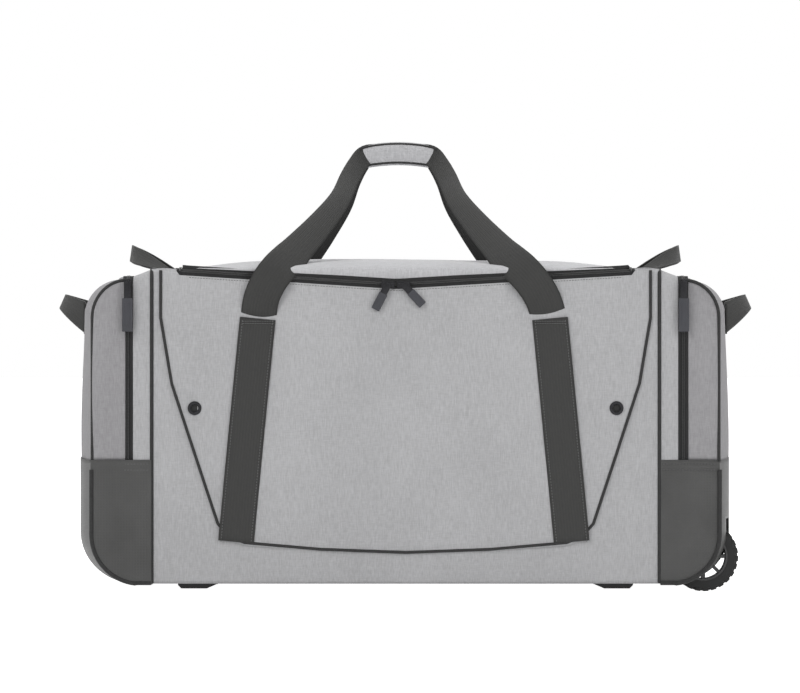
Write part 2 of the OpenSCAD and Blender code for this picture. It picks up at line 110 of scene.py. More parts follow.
def raised(tree, shader, height, distance, strength=0.6):
    bump = add_node(tree, "ShaderNodeBump", Strength=strength, Distance=distance)
    tree.links.new(height, bump.inputs["Height"])
    tree.links.new(bump.outputs["Normal"], shader.inputs["Normal"])


def weave(tree, period):
    """Crossed threads along the three axes, a thread every period."""
    place = add_node(tree, "ShaderNodeTexCoord")
    total = None
    for axis in "XYZ":
        wave = add_node(tree, "ShaderNodeTexWave", bands_direction=axis, Scale=math.pi / (10 * period))
        tree.links.new(place.outputs["Object"], wave.inputs["Vector"])
        total = wave.outputs["Fac"] if total is None else mixed(tree, "ADD", total, wave.outputs["Fac"])
    return total


def heathered(name, colour, contrast=0.13):
    material, tree, shader = node_material(name, colour, 0.88)
    upright = stretched_noise(tree, (750, 750, 90))
    level = stretched_noise(tree, (110, 110, 900))
    cloudy = stretched_noise(tree, (9, 9, 7))
    threads = mixed(tree, "ADD", mixed(tree, "MULTIPLY", upright, 0.5), mixed(tree, "MULTIPLY", level, 0.3))
    threads = mixed(tree, "ADD", threads, mixed(tree, "MULTIPLY", cloudy, 0.2))
    dark = [c * (1 - contrast) for c in colour]
    light = [min(1, c * (1 + contrast)) for c in colour]
    tree.links.new(ramp(tree, threads, dark, light, 0.38, 0.62), shader.inputs["Base Color"])
    shader.inputs["Sheen Weight"].default_value = 0.08
    shader.inputs["Sheen Roughness"].default_value = 0.5
    threads_over = weave(tree, 0.0011)
    slubs = mixed(tree, "MULTIPLY", upright, 0.8)
    raised(tree, shader, mixed(tree, "ADD", threads_over, slubs), 0.0003)
    return material


def finish_piece(name, mesh_source, material, body, nodes=(), smooth=True, sharp=None):
    mesh = mesh_source
    if isinstance(mesh_source, bmesh.types.BMesh):
        mesh = bpy.data.meshes.new(name)
        mesh_source.to_mesh(mesh)
        mesh_source.free()
    piece = bpy.data.objects.new(name, mesh)
    bpy.context.collection.objects.link(piece)
    mesh.materials.clear()
    mesh.materials.append(material)
    mesh.polygons.foreach_set("use_smooth", [smooth] * len(mesh.polygons))
    if sharp:
        mesh.set_sharp_from_angle(angle=sharp)
    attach(piece, body)
    if nodes:
        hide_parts(*nodes)
    return piece


def cloth(name, across, along, place, material, body, nodes=(), size=(1, 1), thick=0.0016):
    """A sewn sheet: a grid laid where place(u, v) says, then given its thickness."""
    bm = bmesh.new()
    uv = bm.loops.layers.uv.new("UVMap")
    bmesh.ops.create_grid(bm, x_segments=across, y_segments=along, size=0.5)
    for face in bm.faces:
        for loop in face.loops:
            loop[uv].uv = ((loop.vert.co.x + 0.5) * size[0], (loop.vert.co.y + 0.5) * size[1])
    for vert in bm.verts:
        vert.co = Vector(place(vert.co.x + 0.5, vert.co.y + 0.5))
    bmesh.ops.remove_doubles(bm, verts=bm.verts, dist=0.00001)
    piece = finish_piece(name, bm, material, body, nodes)
    wall = piece.modifiers.new("thickness", "SOLIDIFY")
    wall.thickness = thick
    wall.offset = 0
    return piece


def zip_z(x):
    run = ZIP_X + MEET_X if x < MEET_X else ZIP_X - MEET_X
    return ZIP_MID_Z + (ZIP_END_Z - ZIP_MID_Z) * min(1, abs(x - MEET_X) / run)


def creases(x, z, seed):
    slow = noise.noise(Vector((x * 5, z * 3.2, seed)))
    fine = noise.noise(Vector((x * 17 + z * 9, z * 7, seed + 4.7)))
    return 0.0035 * slow + 0.0014 * fine


def wall_y(x, z, side=-1):
    """Where the outer face of the front (side -1) or back (side 1) wall lies."""
    up = max(0, min(1, (z - BASE_Z) / (TOP_Z - BASE_Z)))
    belly = (1 - min(1, abs(x) / SEAM_X) ** 4) * math.sin(math.pi * up) ** 0.8
    return side * (FACE_Y + belly * (BELLY + creases(x, z, 3 * side)))


def panel_half_width(z):
    """Half the width of the centre panel at a height, between the corners of its outline."""
    for (x0, z0), (x1, z1) in zip(PANEL_CORNERS, PANEL_CORNERS[1:]):
        if z >= z1:
            return x1 + (x0 - x1) * min(1, (z - z1) / (z0 - z1))
    return PANEL_CORNERS[-1][0]


wall_cloth = heathered("grey_polyester", (0.5, 0.5, 0.51))
for side, word in ((-1, "front"), (1, "back")):
    def surround(u, v):
        x = (2 * u - 1) * SEAM_X
        inside = side < 0 and abs(x) < ZIP_X + ZIP_HALF
        top = zip_z(x) - ZIP_HALF if inside else TOP_Z
        z = BASE_Z + v * (top - BASE_Z)
        return x, wall_y(x, z, side), z

    def centre(u, v):
        share = abs(2 * u - 1)
        low = 0.059 + 0.013 * share ** 2 + 0.03 * max(0, (share - 0.86) / 0.14) ** 2
        top = TOP_Z - 0.002
        z = low + v * (top - low)
        x = (2 * u - 1) * panel_half_width(z)
        if side < 0 and abs(x) < ZIP_X + ZIP_HALF:
            z = min(z, zip_z(x) - ZIP_HALF)
        return x, wall_y(x, z, side) + side * 0.0016, z

    cloth(f"{word}_surround_cloth", 150, 90, surround, wall_cloth, "bag",
          [f"{word}_surround"])
    cloth(f"{word}_centre_cloth", 130, 90, centre, wall_cloth, "bag",
          [f"{word}_centre_panel"])

# Piping: cord in a dark woven cover, caught in the seam round the centre panel and up
# each side seam where the walls meet the end pockets.
def plain_cloth(name, colour, period=0.0009):
    material, tree, shader = node_material(name, colour, 0.8)
    dust = stretched_noise(tree, (300, 300, 300))
    tree.links.new(ramp(tree, dust, [c * 0.75 for c in colour], [c * 1.3 for c in colour]),
                   shader.inputs["Base Color"])
    raised(tree, shader, weave(tree, period), 0.0003)
    return material


def smooth_path(points, steps=8):
    """A Catmull-Rom line through the points."""
    line = []
    for i in range(len(points) - 1):
        a, b, c, d = (Vector(points[max(0, min(len(points) - 1, i + k))]) for k in (-1, 0, 1, 2))
        for s in range(steps):
            t = s / steps
            line.append(0.5 * (2 * b + (c - a) * t + (2 * a - 5 * b + 4 * c - d) * t * t
                               + (3 * b - a - 3 * c + d) * t ** 3))
    return line + [Vector(points[-1])]


def cord_mesh(points, radius, closed=False):
    curve = bpy.data.curves.new("cord", "CURVE")
    curve.dimensions = "3D"
    curve.bevel_depth = radius
    curve.bevel_resolution = 3
    curve.use_fill_caps = not closed
    spline = curve.splines.new("POLY")
    spline.points.add(len(points) - 1)
    for point, place in zip(spline.points, points):
        point.co = (*place, 1)
    spline.use_cyclic_u = closed
    holder = bpy.data.objects.new("cord", curve)
    bpy.context.collection.objects.link(holder)
    mesh = bpy.data.meshes.new_from_object(holder.evaluated_get(bpy.context.evaluated_depsgraph_get()))
    bpy.data.objects.remove(holder)
    return mesh


def cord(name, points, radius, material, body, nodes=(), closed=False):
    return finish_piece(name, cord_mesh(points, radius, closed), material, body, nodes)


piping_cloth = plain_cloth("piping_cord", (0.022, 0.022, 0.022))
for side, word in ((-1, "front"), (1, "back")):
    half = [(0.35, 0.462), *PANEL_CORNERS, (0.252, 0.082), (0.23, 0.073), (0.12, 0.0635), (0, 0.059)]
    outline = half + [(-x, z) for x, z in half[-2::-1]]
    edge = []
    for (x0, z0), (x1, z1) in zip(outline, outline[1:]):
        count = max(2, int(math.hypot(x1 - x0, z1 - z0) / 0.012))
        edge += [(x0 + (x1 - x0) * i / count, z0 + (z1 - z0) * i / count) for i in range(count)]
    edge.append(outline[-1])
    line = [Vector((x, wall_y(x, z, side) + side * 0.0022, z)) for x, z in edge]
    cord(f"{word}_panel_piping", line, 0.0022, piping_cloth, "bag", [f"{word}_piping"])
for side, word in ((-1, "left"), (1, "right")):
    corner, reach = 0.01, FACE_Y + 0.001
    line = [(side * SEAM_X, -reach, BASE_Z + 0.001 + i * 0.44 / 30) for i in range(31)]
    line += [(side * SEAM_X,
              -reach + corner * (1 - math.cos(a)),
              TOP_Z - corner + (corner + 0.001) * math.sin(a))
             for a in (0.4, 0.8, 1.2, 1.57)]
    line += [(x, -y, z) for x, y, z in reversed(line)]
    cord(f"{word}_side_piping", line, 0.0026, piping_cloth, "bag", [f"{word}_seam_piping"])

# Webbing bands: two-inch ribbed polypropylene webbing, stitched up the walls along both its
# edges to a double bar of stitches, above which it runs free as the carrying straps.
def ribbed_webbing(name, colour):
    material, tree, shader = node_material(name, colour, 0.62)
    place = add_node(tree, "ShaderNodeTexCoord")
    heights = None
    for axis, period, share in (("X", 0.0016, 0.7), ("Y", 0.0042, 0.5)):
        wave = add_node(tree, "ShaderNodeTexWave", bands_direction=axis, Scale=math.pi / (10 * period))
        tree.links.new(place.outputs["UV"], wave.inputs["Vector"])
        part = mixed(tree, "MULTIPLY", wave.outputs["Fac"], share)
        heights = part if heights is None else mixed(tree, "ADD", heights, part)
    fuzz = stretched_noise(tree, (260, 260, 260))
    # Colour follows the rib relief: darker in the grooves between the ribs (painted shade) and lighter on
    # their crests (painted highlight), with random fuzz in the yarn tone on top.
    rib_shade_and_fuzz = mixed(tree, "ADD", mixed(tree, "MULTIPLY", heights, 0.4), mixed(tree, "MULTIPLY", fuzz, 0.5))
    tree.links.new(ramp(tree, rib_shade_and_fuzz, [c * 0.7 for c in colour], [c * 1.45 for c in colour], 0.25, 0.75),
                   shader.inputs["Base Color"])
    shader.inputs["Sheen Weight"].default_value = 0.04
    raised(tree, shader, heights, 0.0005, 0.7)
    return material


def ribbon(name, line, width, material, body, nodes=(), across=None, thick=0.0019, rows=10, bow=0.0):
    """Flat webbing along a line. width and across may change with the share of the way along."""
    length = sum((b - a).length for a, b in zip(line, line[1:]))
    last = len(line) - 1

    def place(u, v):
        i = min(last, round(u * last))
        tangent = (line[min(last, i + 1)] - line[max(0, i - 1)]).normalized()
        side = Vector(across(u)).normalized() if across else Vector((tangent.z, 0, -tangent.x)).normalized()
        normal = side.cross(tangent).normalized()
        wide = width(u) if callable(width) else width
        return line[i] + side * (v - 0.5) * wide + normal * bow * (1 - (2 * v - 1) ** 2)

    size = (length, width(0) if callable(width) else width)
    return cloth(name, last, rows, place, material, body, nodes, size, thick)


def stitches(name, line, material, body, pitch=0.0042, size=(0.0026, 0.0008, 0.0008)):
    """A row of thread stitches lying along a line."""
    bm = bmesh.new()
    travelled, wanted = 0.0, pitch / 2
    for a, b in zip(line, line[1:]):
        step = (b - a).length
        while step > 0 and wanted <= travelled + step:
            turn = (b - a).to_track_quat("X", "Z").to_matrix().to_4x4()
            where = a.lerp(b, (wanted - travelled) / step)
            spot = Matrix.Translation(where) @ turn @ Matrix.Diagonal((*size, 1))
            bmesh.ops.create_cube(bm, size=1, matrix=spot)
            wanted += pitch
        travelled += step
    return finish_piece(name, bm, material, body, smooth=False)


webbing = ribbed_webbing("black_webbing", (0.0125, 0.0125, 0.0115))
thread, _, _ = node_material("thread", (0.11, 0.11, 0.11), 0.6)
WEB = 0.051
BAND_FOOT_X, BAND_FOOT_Z, BAND_TOP_X, BAND_TOP_Z, BAND_SHIFT = 0.2395, 0.074, 0.2085, 0.393, -0.0025
for side, word in ((-1, "front"), (1, "back")):
    for hand, hand_word in ((-1, "left"), (1, "right")):
        line = []
        for i in range(41):
            t = i / 40
            x = hand * (BAND_FOOT_X + (BAND_TOP_X - BAND_FOOT_X) * t) + BAND_SHIFT
            z = BAND_FOOT_Z + (BAND_TOP_Z - BAND_FOOT_Z) * t
            line.append(Vector((x, wall_y(x, z, side) + side * 0.0035, z)))
        nodes = [f"{word}_bands"] if hand < 0 else []
        ribbon(f"{word}_{hand_word}_band", line, WEB, webbing, "bag", nodes)
        for edge, edge_word in ((-1, "in"), (1, "out")):
            row = [p + Vector((edge * 0.0215, side * 0.0012, 0)) for p in line]
            stitches(f"{word}_{hand_word}_band_stitch_{edge_word}", row, thread, "bag")
        for n, drop in enumerate((0.004, 0.007)):
            x, z = hand * BAND_TOP_X + BAND_SHIFT, BAND_TOP_Z - drop
            row = [Vector((x + s * 0.0225, wall_y(x, z, side) + side * 0.0048, z))
                   for s in (-1, -0.5, 0, 0.5, 1)]
            stitches(f"{word}_{hand_word}_bar_stitch_{n}", row, thread, "bag", 0.0035)

# Carrying straps: the same webbing run free from the walls, rising and leaning in over the
# lid, folded narrow where the padded wrap holds the two straps together.
GRIP_SHIFT, GRIP_Z = -0.0105, 0.641
rise = [(0.2075, 0.2205, 0.3935), (0.2015, 0.2260, 0.419), (0.190, 0.2290, 0.442), (0.1745, 0.2260, 0.462),
        (0.157, 0.2070, 0.479), (0.143, 0.1860, 0.495), (0.114, 0.1400, 0.530), (0.0865, 0.0900, 0.5685),
        (0.072, 0.0470, 0.603), (0.060, 0.0210, 0.625), (0.048, 0.0085, 0.639), (0.025, 0.0060, GRIP_Z)]
for side, word, body in ((-1, "front", "front_handle"), (1, "back", "back_handle")):
    points = [(-x, side * y, z) for x, y, z in rise] + [(0, side * 0.006, GRIP_Z)]
    points += [(x, side * y, z) for x, y, z in reversed(rise)]
    line = smooth_path([(x + GRIP_SHIFT * (0.25 + 0.75 * min(1, (z - 0.3935) / 0.09)), y, z)
                        for x, y, z in points], 6)

    def narrowing(u):
        near = max(0, min(1, (0.7 - abs(2 * u - 1)) / 0.35))
        return WEB - 0.021 * near * near * (3 - 2 * near)

    strap = ribbon(f"{word}_carrying_strap", line, narrowing, webbing, body,
                   [f"{word}_handle_strap"], bow=0.0012)
    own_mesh(strap)

# Grip wrap: a foam pad in grey polyester that holds both straps, bound with piping along
# its front and back edges.
def blocky(name, cuts, place, material, body, nodes=(), drop=None, sharp=None, thick=None, smooth=True):
    """A cube cut into a fine grid and reshaped by place(a, b, c), each from -1 to 1."""
    bm = bmesh.new()
    bmesh.ops.create_cube(bm, size=2)
    bmesh.ops.subdivide_edges(bm, edges=bm.edges, cuts=cuts, use_grid_fill=True)
    if drop:
        gone = [f for f in bm.faces if drop(f.calc_center_median())]
        bmesh.ops.delete(bm, geom=gone, context="FACES")
    for vert in bm.verts:
        vert.co = Vector(place(*vert.co))
    piece = finish_piece(name, bm, material, body, nodes, smooth, sharp)
    if thick:
        wall = piece.modifiers.new("thickness", "SOLIDIFY")
        wall.thickness = thick
        wall.offset = -1
    return piece


def grip_form(a, b, c):
    x = a * 0.0575
    round_off = (abs(b) ** 4 + abs(c) ** 4) ** 0.25 or 1
    b, c = b / max(1, round_off), c / max(1, round_off)
    end = 1 - 0.1 * abs(a) ** 10
    pad = 0.9 + 0.1 * (1 - a ** 4)
    z = GRIP_Z + 0.001 - 0.0065 * a * a + c * 0.0172 * end
    return x + GRIP_SHIFT, b * 0.0125 * end * pad, z


wrap_cloth = heathered("padded_polyester", (0.57, 0.57, 0.585))
wrap = blocky("padded_grip_wrap", 15, grip_form, wrap_cloth, "back_handle", ["grip_wrap"])
for side, word in ((-1, "front"), (1, "back")):
    line = []
    for a, c in [(i / 12, 1) for i in range(-12, 13)] + [(1, 0.5), (1, 0), (1, -0.5)] \
            + [(-i / 12, -1) for i in range(-12, 13)] + [(-1, -0.5), (-1, 0), (-1, 0.5)]:
        x, y, z = grip_form(a * 0.995, side, c * 0.93)
        line.append(Vector((x, side * 0.0105, z)))
    cord(f"grip_{word}_piping", line, 0.0017, piping_cloth, "back_handle", closed=True)

# Lid: a stuffed dome of the same polyester, its front lip turned down over the edge to meet
# the zip. It is sewn to the rear strip.
LID_X, LID_BACK = 0.316, 0.205


def lid_form(u, v):
    x = (2 * u - 1) * LID_X
    front = zip_z(x) + ZIP_HALF - 0.0005
    crown = 1 - abs(2 * u - 1) ** 5
    if v < 0.1:
        t = v / 0.1
        edge = max(front, TOP_Z + 0.001)
        return x, wall_y(x, front) - 0.0015 * math.sin(t * math.pi), front + (edge - front) * t
    t = (v - 0.1) / 0.9
    z = max(front, TOP_Z + 0.001) * (1 - t) + (TOP_Z + 0.0005) * t
    z += crown * (0.0165 + 0.6 * creases(x, t, 9)) * math.sin(math.pi * min(1, t)) ** 0.55
    y = wall_y(x, front) * (1 - t) + LID_BACK * t
    return x, y, z


# The lid is the same polyester as the walls, given a lighter colour here because its top faces the lamps:
# painted light.
lid_cloth_painted_light = heathered("lid_polyester", (0.58, 0.58, 0.595))
cloth("lid_cloth_painted_light", 120, 80, lid_form, lid_cloth_painted_light, "lid", ["lid_panel"])

# Lid zip: a heavy coil zip on black tape, sewn along the top of the front wall in a
# shallow V and then back along both sides of the lid.
SIDE_POINTS, FRONT_POINTS = 25, 81


def zip_line(d, half_width):
    """The whole zip path, d above the teeth line on the front and half_width out on the top."""
    back_to_front = [LID_BACK - i * 2 * LID_BACK / (SIDE_POINTS - 1) for i in range(SIDE_POINTS)]
    line = [(-half_width, y, TOP_Z + 0.001) for y in back_to_front]
    front = []
    for i in range(FRONT_POINTS):
        x = -half_width + 2 * half_width * i / (FRONT_POINTS - 1)
        z = zip_z(x) + d
        front.append((x, wall_y(x, z) - 0.0012, z))
    return [Vector(p) for p in line + front + [(-x, y, z) for x, y, z in reversed(line)]]


def on_front(i):
    return SIDE_POINTS <= i < SIDE_POINTS + FRONT_POINTS


def coil_material():
    material, tree, shader = node_material("zip_coil", (0.02, 0.02, 0.02), 0.4)
    place = add_node(tree, "ShaderNodeTexCoord")
    teeth = None
    for axis in "XYZ":
        wave = add_node(tree, "ShaderNodeTexWave", bands_direction=axis, Scale=math.pi / (10 * 0.0021))
        tree.links.new(place.outputs["Object"], wave.inputs["Vector"])
        teeth = wave.outputs["Fac"] if teeth is None else mixed(tree, "MULTIPLY", teeth, wave.outputs["Fac"])
    # The colour follows the teeth relief: near black in the gaps between the teeth (painted shade) and
    # lighter on their crowns (painted highlight).
    tree.links.new(ramp(tree, teeth, (0.004, 0.004, 0.004), (0.035, 0.035, 0.036), 0.0, 0.5),
                   shader.inputs["Base Color"])
    raised(tree, shader, teeth, 0.0008, 0.8)
    return material


zip_coil = coil_material()
zip_tape = plain_cloth("zip_tape", (0.010, 0.010, 0.0105), 0.0007)
for word, sign, body in (("body", -1, "bag"), ("lid", 1, "lid")):
    out = ZIP_X - sign * 0.0035
    line = zip_line(sign * 0.0044, out)

    def tape_across(u, corner=line):
        return (0, 0, 1) if on_front(round(u * (len(corner) - 1))) else (1, 0, 0)

    ribbon(f"lid_zip_{word}_tape", line, 0.0086, zip_tape, body,
           [f"lid_zip_{word}_half"], tape_across, 0.001, 2)
    teeth = [p + Vector((0, -0.0006 if on_front(i) else 0, 0.0008))
             for i, p in enumerate(zip_line(sign * 0.0011, ZIP_X - sign * 0.0011))]
    cord(f"lid_zip_{word}_coil", teeth, 0.0013, zip_coil, body)
hem = [Vector((x, wall_y(x, zip_z(x) - 0.0085) - 0.0022, zip_z(x) - 0.0085))
       for x in [-0.31 + i * 0.62 / 60 for i in range(61)]]
stitches("front_wall_hem_stitch", hem, thread, "bag", 0.004)

# Shoulders and rear strip: the fixed part of the top round the lid.
for name, x0, x1, y0, y1 in (("left_shoulder_cloth", -SEAM_X, -0.3275, -0.2145, 0.2145),
                             ("right_shoulder_cloth", 0.3275, SEAM_X, -0.2145, 0.2145),
                             ("rear_top_strip", -0.3275, 0.3275, 0.2053, 0.2145)):
    def flat_top(u, v, x0=x0, x1=x1, y0=y0, y1=y1):
        x, y = x0 + u * (x1 - x0), y0 + v * (y1 - y0)
        return x, y, TOP_Z - 0.0005 + 0.002 * math.sin(math.pi * u) + 0.4 * creases(x * 2, y, 5)

    cloth(name, 16, 60, flat_top, wall_cloth, "bag",
          ["top_surround"] if name.startswith("left") else [])

# Lid sliders and pulls: plated slider bodies with a bail, and a two-part pull, a metal link
# and a moulded rubber tab.
def metal(name, colour, roughness):
    material, tree, shader = node_material(name, colour, roughness)
    shader.inputs["Metallic"].default_value = 0.85
    scratches = stretched_noise(tree, (900, 120, 400))
    tree.links.new(ramp(tree, scratches, [c * 0.75 for c in colour], [c * 1.3 for c in colour]),
                   shader.inputs["Base Color"])
    return material


def moulded(name, colour, roughness, grain=0.0002):
    material, tree, shader = node_material(name, colour, roughness)
    speck = stretched_noise(tree, (1400, 1400, 1400), 2.0)
    broad = stretched_noise(tree, (30, 30, 30))
    tree.links.new(ramp(tree, broad, [c * 0.85 for c in colour], [c * 1.18 for c in colour]),
                   shader.inputs["Base Color"])
    raised(tree, shader, speck, grain)
    return material


def add_block(bm, size, where, matrix, round_by=0.0006):
    """A block with rounded edges, placed in the frame that matrix gives."""
    spot = matrix @ Matrix.Translation(where) @ Matrix.Diagonal((*size, 1))
    made = bmesh.ops.create_cube(bm, size=1, matrix=spot)
    edges = {e for v in made["verts"] for e in v.link_edges}
    bmesh.ops.bevel(bm, geom=list(edges), offset=round_by, segments=3, profile=0.5,
                    affect="EDGES", material=-1)


gunmetal = metal("dark_metal", (0.022, 0.022, 0.024), 0.38)
rubber = moulded("pull_rubber", (0.026, 0.027, 0.034), 0.5)
for side, word in ((-1, "left"), (1, "right")):
    run = ZIP_X + MEET_X if side < 0 else ZIP_X - MEET_X
    slope = math.atan2(ZIP_END_Z - ZIP_MID_Z, run)
    x = MEET_X + side * 0.011
    z = ZIP_MID_Z + 0.011 * math.tan(slope)
    y = wall_y(x, z) - 0.0035
    spot = Matrix.Translation((x, y, z)) @ Matrix.Rotation(-side * slope, 4, "Y")
    bm = bmesh.new()
    add_block(bm, (0.019, 0.0024, 0.0095), (0, -0.0008, 0), spot, 0.0008)
    add_block(bm, (0.019, 0.0018, 0.0095), (0, 0.0062, 0), spot, 0.0006)
    for end in (-1, 1):
        add_block(bm, (0.0024, 0.004, 0.004), (end * 0.0065, -0.0032, 0), spot)
    add_block(bm, (0.0155, 0.0014, 0.0034), (0, -0.0052, 0), spot)
    finish_piece(f"{word}_lid_slider_body", bm, gunmetal, f"{word}_lid_slider_body",
                 [f"{word}_lid_slider"], sharp=0.6)
    lean = math.radians(27 if side < 0 else -43)
    spot = Matrix.Translation((x, y - 0.0062, z)) @ Matrix.Rotation(lean, 4, "Y")
    bm = bmesh.new()
    add_block(bm, (0.0105, 0.0018, 0.0165), (0, 0, -0.0075), spot, 0.0006)
    finish_piece(f"{word}_lid_pull_link", bm, gunmetal, f"{word}_lid_pull_body",
                 [f"{word}_lid_pull"], sharp=0.6)
    bm = bmesh.new()
    add_block(bm, (0.0125, 0.0036, 0.026), (0, 0, -0.0275), spot, 0.0012)
    add_block(bm, (0.0062, 0.0010, 0.017), (0, -0.0019, -0.0275), spot, 0.0004)
    finish_piece(f"{word}_lid_pull_tab", bm, rubber, f"{word}_lid_pull_body", sharp=0.6)

# End pockets: a fixed strip beside each side seam, then a zip over the top, and a rounded
# door of darker polyester that folds down from the boot. The end face bellies outward.
BOOT_Z, FLAT_X, END_X, POCKET_ZIP_X, POCKET_TOP = 0.188, 0.448, 0.474, 0.397, 0.452


def over_the_top(v, low, high, corner=0.012):
    """A point on the way up the front, over the top and down the back."""
    rise_len, flat_len = high - corner - low, 2 * (FACE_Y - corner)
    turn = corner * math.pi / 2
    far = v * (2 * rise_len + 2 * turn + flat_len)
    if far < rise_len:
        return -FACE_Y, low + far
    far -= rise_len
    if far < turn:
        a = far / corner
        return -FACE_Y + corner * (1 - math.cos(a)), high - corner + corner * math.sin(a)
    far -= turn
    if far < flat_len:
        return -FACE_Y + corner + far, high
    far -= flat_len
    if far < turn:
        a = far / corner
        return FACE_Y - corner + corner * math.sin(a), high - corner + corner * math.cos(a)
    return FACE_Y, high - corner - (far - turn)


def end_reach(y, z):
    """How far out the end face stands."""
    side_share = 1 - min(1, abs(y) / FACE_Y) ** 4
    return FLAT_X + (END_X - FLAT_X) * side_share * (0.75 + 0.25 * math.sin(math.pi * min(1, z / 0.46)))


pocket_cloth = heathered("pocket_polyester", (0.365, 0.358, 0.37))
door_round = 0.05
for side, word in ((-1, "left"), (1, "right")):
    def gusset(u, v):
        y, z = over_the_top(v, BOOT_Z - 0.002, TOP_Z - 0.001 - 0.011 * u)
        puff = 0.0015 * math.sin(math.pi * u)
        return side * (SEAM_X + u * 0.0285), y + math.copysign(puff, y), z

    cloth(f"{word}_pocket_strip", 8, 220, gusset, wall_cloth, "bag", [f"{word}_gusset"])
    for half, out, body in (("body", -0.0037, "bag"), ("door", 0.0037, f"{word}_pocket")):
        line = [Vector((side * (POCKET_ZIP_X + out), y * 1.003, z + 0.0006))
                for y, z in (over_the_top(i / 160, BOOT_Z + 0.0005, POCKET_TOP + 0.001) for i in range(161))]
        ribbon(f"{word}_pocket_zip_{half}_tape", line, 0.0072, zip_tape, body,
               [f"{word}_pocket_zip_{half}_half"], lambda u: (1, 0, 0), 0.001, 2)
        teeth = [Vector((side * (POCKET_ZIP_X + math.copysign(0.0011, out)), p.y * 1.003, p.z)) for p in line]
        cord(f"{word}_pocket_zip_{half}_coil", teeth, 0.0013, zip_coil, body)

    def door_top(x, y):
        start = end_reach(y, 0.42) - door_round
        if x <= start:
            return POCKET_TOP - 0.003 * (x - 0.4) / 0.04
        t = min(1, (x - start) / door_round)
        return POCKET_TOP - 0.004 - (door_round + 0.004) * (1 - math.sqrt(max(0, 1 - t * t)))

    def door_form(a, b, c):
        y = b * FACE_Y
        edge = math.sin((a + 1) / 2 * math.pi / 2)
        level = BOOT_Z + 0.001 + (c + 1) / 2 * (POCKET_TOP - BOOT_Z)
        x = 0.4008 + (end_reach(y, level) - 0.4008) * edge
        top = door_top(x, y)
        z = BOOT_Z + 0.001 + (c + 1) / 2 * (top - BOOT_Z - 0.001)
        dent = creases(x * 3 + y * 2, z, 13 + side)
        if abs(b) > 0.99:
            y += b * (0.0045 * math.sin(math.pi * (a + 1) / 2) * math.sin(math.pi * (c + 1) / 2) + 0.3 * dent)
        elif a > 0.99:
            x += 0.7 * dent
        return side * x, y, z

    blocky(f"{word}_pocket_door_cloth", 34, door_form, pocket_cloth, f"{word}_pocket",
           [f"{word}_pocket_door"], lambda p: p.x < -0.99 or p.z < -0.99, 0.9, 0.0016)
    for face, face_word in ((-1, "front"), (1, "back")):
        line = []
        for i in range(41):
            a, c = (1, -1 + 2 * i / 26) if i <= 26 else (1 - 2 * (i - 26) / 14, 1)
            x, y, z = door_form(a, face, c)
            line.append(Vector((x, y + face * 0.0008, z)))
        cord(f"{word}_pocket_{face_word}_piping", line, 0.0024, piping_cloth, f"{word}_pocket")

    # Pocket slider and its long pull, which hang at the top of the zip.
    spot = Matrix.Translation((side * POCKET_ZIP_X, -FACE_Y - 0.0042, 0.442))
    bm = bmesh.new()
    add_block(bm, (0.0098, 0.0024, 0.0155), (0, 0, 0), spot, 0.0008)
    add_block(bm, (0.0036, 0.0040, 0.0022), (0, -0.0024, 0.0050), spot)
    add_block(bm, (0.0036, 0.0040, 0.0022), (0, -0.0024, -0.0030), spot)
    add_block(bm, (0.0030, 0.0013, 0.0100), (0, -0.0042, 0.0010), spot, 0.0004)
    finish_piece(f"{word}_pocket_slider_body", bm, gunmetal, f"{word}_pocket_slider_body",
                 [f"{word}_pocket_slider"], sharp=0.6)
    bm = bmesh.new()
    add_block(bm, (0.0100, 0.0018, 0.0250), (0, -0.0062, -0.0090), spot)
    finish_piece(f"{word}_pocket_pull_link", bm, gunmetal, f"{word}_pocket_pull_body",
                 [f"{word}_pocket_pull"], sharp=0.6)
    bm = bmesh.new()
    add_block(bm, (0.0150, 0.0036, 0.0480), (0, -0.0062, -0.0440), spot, 0.0014)
    add_block(bm, (0.0075, 0.0010, 0.0330), (0, -0.0081, -0.0430), spot, 0.0004)
    finish_piece(f"{word}_pocket_pull_tab", bm, rubber, f"{word}_pocket_pull_body", sharp=0.6)

# Boots: PVC-coated tarpaulin round the bottom of each pocket, hemmed with two rows of
# stitches and bound with a heavy welt at the lower corner. The right one has wheel wells.
ROUND, AXLE_X, AXLE_Z, WHEEL_Y, WELL_X, WELL_Z, WELL_HALF = 0.07, 0.43, 0.05, 0.165, 0.375, 0.105, 0.017


def tarpaulin():
    material, tree, shader = node_material("coated_cloth", (0.062, 0.062, 0.061), 0.5)
    scrim = weave(tree, 0.0022)
    scuffs = stretched_noise(tree, (14, 14, 11), 6.0)
    tree.links.new(ramp(tree, scuffs, (0.037, 0.037, 0.036), (0.06, 0.06, 0.059), 0.35, 0.7),
                   shader.inputs["Base Color"])
    pressed = mixed(tree, "MULTIPLY", scrim, 0.6)
    lumps = stretched_noise(tree, (40, 40, 30))
    raised(tree, shader, mixed(tree, "ADD", pressed, lumps), 0.0006, 0.5)
    return material


def boot_reach(y, z):
    edge = end_reach(y, 0.23) + 0.001
    if z >= BASE_Z + ROUND:
        return edge
    return edge - ROUND + math.sqrt(max(0, ROUND ** 2 - (BASE_Z + ROUND - z) ** 2))


